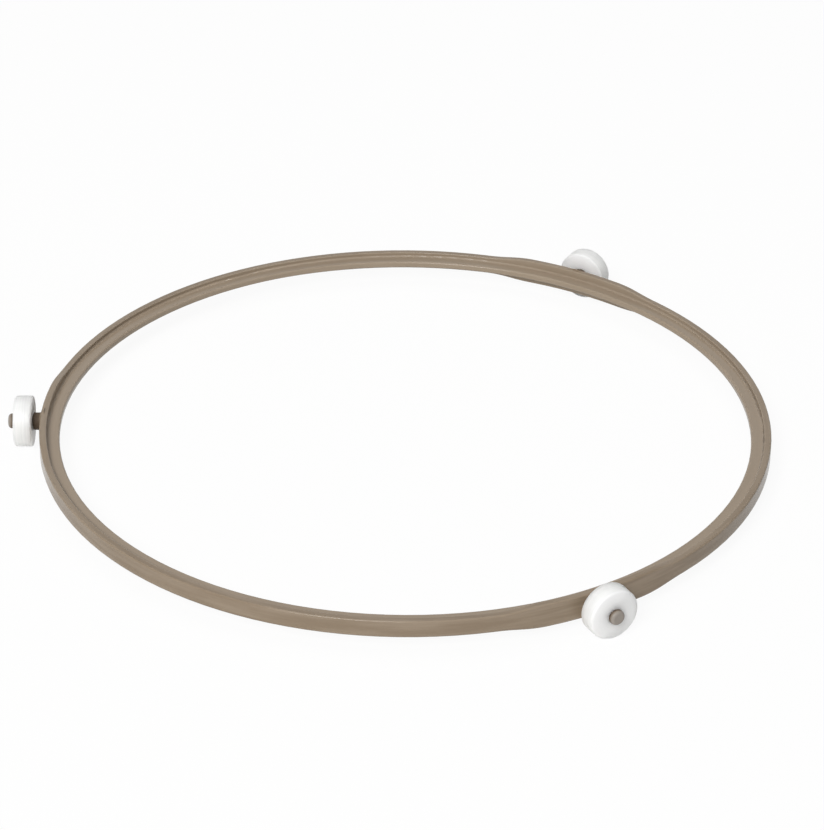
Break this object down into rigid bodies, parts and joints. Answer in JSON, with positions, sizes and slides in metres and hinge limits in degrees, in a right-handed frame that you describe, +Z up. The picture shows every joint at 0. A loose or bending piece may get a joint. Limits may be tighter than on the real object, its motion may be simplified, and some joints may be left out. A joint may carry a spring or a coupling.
{
  "type": "microwave roller ring",
  "caption": "Flat ring with a T-shaped section and small free-turning wheels on stub axles around its outside; it rolls on a microwave oven's floor and carries the glass plate.",
  "frame": {"origin": "on the ring's axis, at the height of the wheel axles; the oven floor is 7.7 mm below it", "axes": "+Z up along the ring's axis; -X through the left wheel, so the other two wheels are at 60 degrees to either side of +X"},
  "size_m": [0.2299, 0.22, 0.0154],
  "materials": {
    "taupe_plastic": "moulded, low sheen",
    "white_plastic": "moulded, satin"
  },
  "bodies": {
    "ring": {"roller_ring": "taupe_plastic"},
    "left_roller": {"wheel_left": "white_plastic"},
    "front_right_roller": {"wheel_front_right": "white_plastic"},
    "back_right_roller": {"wheel_back_right": "white_plastic"}
  },
  "joints": [
    {"name": "left_wheel_spin", "type": "hinge", "parent": "ring", "child": "left_roller", "pos_m": [-0.1153, 0, 0], "axis": [-1, 0, 0], "continuous": true},
    {"name": "front_right_wheel_spin", "type": "hinge", "parent": "ring", "child": "front_right_roller", "pos_m": [0.05765, -0.09985, 0], "axis": [0.5, -0.866, 0], "continuous": true},
    {"name": "back_right_wheel_spin", "type": "hinge", "parent": "ring", "child": "back_right_roller", "pos_m": [0.05765, 0.09985, 0], "axis": [0.5, 0.866, 0], "continuous": true}
  ]
}
